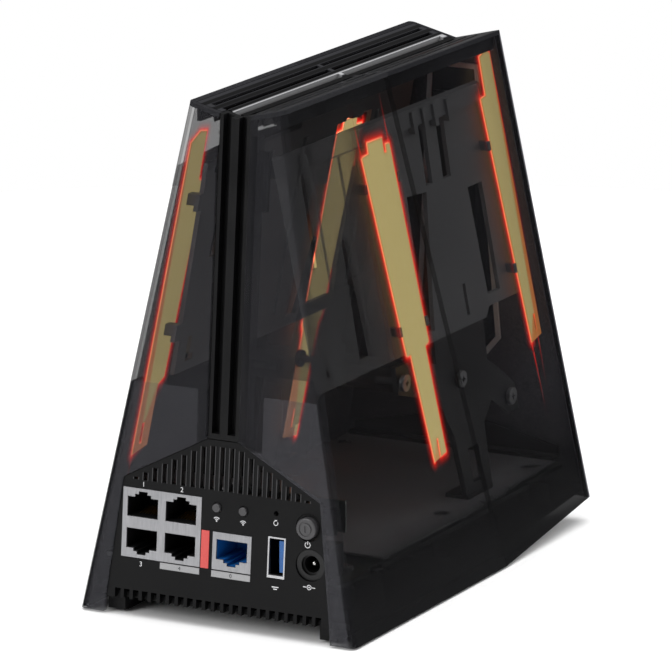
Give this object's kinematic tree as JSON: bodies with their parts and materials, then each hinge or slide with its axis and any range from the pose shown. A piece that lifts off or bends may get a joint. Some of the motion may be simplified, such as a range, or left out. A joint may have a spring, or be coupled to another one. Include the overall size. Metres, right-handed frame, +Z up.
{
  "type": "wireless router",
  "caption": "Free-standing wedge-shaped wireless router with smoked shells, inner plate antennas, network, data and power sockets on a sloping rear panel, and push buttons.",
  "frame": {"origin": "middle of the footprint on the surface it stands on", "axes": "+Z up, +Y towards the rear face with the ports, +X towards the router's right as seen from the front"},
  "size_m": [0.1056, 0.1849, 0.177],
  "materials": {
    "smoked_shell": "smoked transparent polycarbonate, polished",
    "smoked_rear_shell": "smoked transparent polycarbonate, fine spark-erosion texture",
    "black_abs": "moulded black ABS, fine matt texture",
    "light_diffuser": "milky diffusing acrylic",
    "gloss_black": "polished black acrylic",
    "tinned_steel": "nickel-plated stamped steel",
    "socket_black": "black glass-filled nylon",
    "socket_blue": "blue glass-filled nylon",
    "usb_blue": "blue glass-filled nylon",
    "gold_contacts": "gold-flashed spring contacts",
    "nickel": "nickel-plated pin",
    "button_grey": "moulded grey ABS, satin",
    "circuit_board": "black solder mask on glass epoxy",
    "white_label": "printed polyester strip",
    "red_label": "printed polyester strip",
    "rubber": "moulded silicone rubber, matt",
    "screw_steel": "zinc-plated steel",
    "ground_plate": "anodised sheet, satin grey",
    "chip_epoxy": "black epoxy package",
    "thermal_pad": "soft silicone pad",
    "aluminium": "extruded, clear anodised",
    "capacitor_can": "sleeved aluminium can",
    "antenna_brass": "stamped brass sheet, satin",
    "led_epoxy": "clear epoxy lens"
  },
  "bodies": {
    "housing": {"accent_tag": "red_label", "antenna_carrier_left": "black_abs", "antenna_carrier_right": "black_abs", "antenna_connectors": "gold_contacts", "antenna_left_front": "antenna_brass", "antenna_left_mid": "antenna_brass", "antenna_right_mid": "antenna_brass", "antenna_right_rear": "antenna_brass", "base_screws": "screw_steel", "base_tray": "black_abs", "board_screws": "screw_steel", "button_board": "circuit_board", "capacitors": "capacitor_can", "carrier_stand_left": "black_abs", "carrier_stand_right": "black_abs", "cross_spacers": "aluminium", "dc_jack": "black_abs", "dc_pin": "nickel", "front_frame": "black_abs", "front_panel": "gloss_black", "front_shell": "smoked_shell", "ground_plate": "ground_plate", "heat_sink": "aluminium", "indicator_leds": "led_epoxy", "io_panel": "black_abs", "label_strips": "white_label", "lan_contacts": "gold_contacts", "lan_insert": "socket_black", "lan_shield": "tinned_steel", "light_board": "circuit_board", "light_guide": "light_diffuser", "main_board": "circuit_board", "memory_chips": "chip_epoxy", "plate_spacers": "screw_steel", "power_bezel": "black_abs", "power_switch": "black_abs", "processors": "chip_epoxy", "rear_shell": "smoked_rear_shell", "rubber_feet": "rubber", "spine": "black_abs", "spine_bracket": "black_abs", "stand_screws": "screw_steel", "tact_switches": "black_abs", "thermal_pads": "thermal_pad", "top_grille": "black_abs", "usb_contacts": "gold_contacts", "usb_shell": "tinned_steel", "usb_tongue": "usb_blue", "wan_contacts": "gold_contacts", "wan_insert": "socket_blue", "wan_shield": "tinned_steel", "wifi_shields": "tinned_steel"},
    "power_key": {"power_cap": "button_grey"},
    "wps_key": {"wps_button": "button_grey"},
    "led_key": {"led_button": "button_grey"},
    "reset_key": {"reset_plunger": "button_grey"}
  },
  "joints": [
    {"name": "power_press", "type": "slide", "parent": "housing", "child": "power_key", "axis": [0, -1, 0], "range_m": [0, 0.0018], "stiffness_N_per_m": 600, "springref_m": -0.001},
    {"name": "wps_press", "type": "slide", "parent": "housing", "child": "wps_key", "axis": [0, -1, 0], "range_m": [0, 0.0006], "stiffness_N_per_m": 1500, "springref_m": -0.0005},
    {"name": "led_press", "type": "slide", "parent": "housing", "child": "led_key", "axis": [0, -1, 0], "range_m": [0, 0.0006], "stiffness_N_per_m": 1500, "springref_m": -0.0005},
    {"name": "reset_press", "type": "slide", "parent": "housing", "child": "reset_key", "axis": [0, -1, 0], "range_m": [0, 0.0005], "stiffness_N_per_m": 1500, "springref_m": -0.0005}
  ]
}
